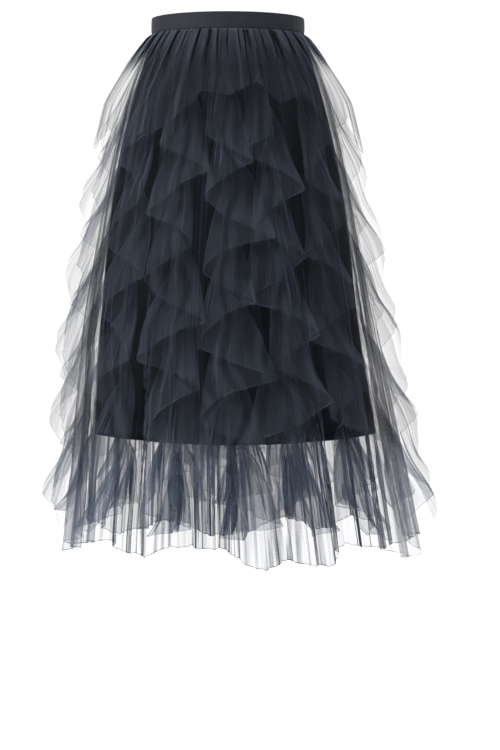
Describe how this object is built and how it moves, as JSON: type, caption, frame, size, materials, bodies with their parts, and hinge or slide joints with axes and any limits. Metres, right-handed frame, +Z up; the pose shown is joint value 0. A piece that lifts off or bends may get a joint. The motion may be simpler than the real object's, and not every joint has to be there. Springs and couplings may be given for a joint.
{
  "type": "a-line skirt",
  "caption": "Midi net skirt with a smooth waistband, a short gathered frill, vertical waterfall frills, a long net layer and a knee-length lining.",
  "frame": {"origin": "middle of the waist opening, half way up the waistband, where the wearer's waist holds the skirt", "axes": "+Z up towards the waist; the front faces -Y; +X is to the right of someone who looks at the front"},
  "size_m": [0.6071, 0.515, 0.8245],
  "materials": {
    "waistband_satin": "satin",
    "lining_crepe": "matte",
    "net": "matte"
  },
  "bodies": {
    "root": {"waistband": "waistband_satin", "lining_front": "lining_crepe", "lining_back": "lining_crepe", "net_front": "net", "net_back": "net", "top_frill_front": "net", "top_frill_back": "net", "cascade_01": "net", "cascade_02": "net", "cascade_03": "net", "cascade_04": "net", "cascade_05": "net", "cascade_06": "net", "cascade_07": "net", "cascade_08": "net", "cascade_09": "net", "cascade_10": "net", "cascade_11": "net", "cascade_12": "net", "cascade_13": "net", "cascade_14": "net", "cascade_15": "net", "cascade_16": "net"}
  },
  "joints": []
}
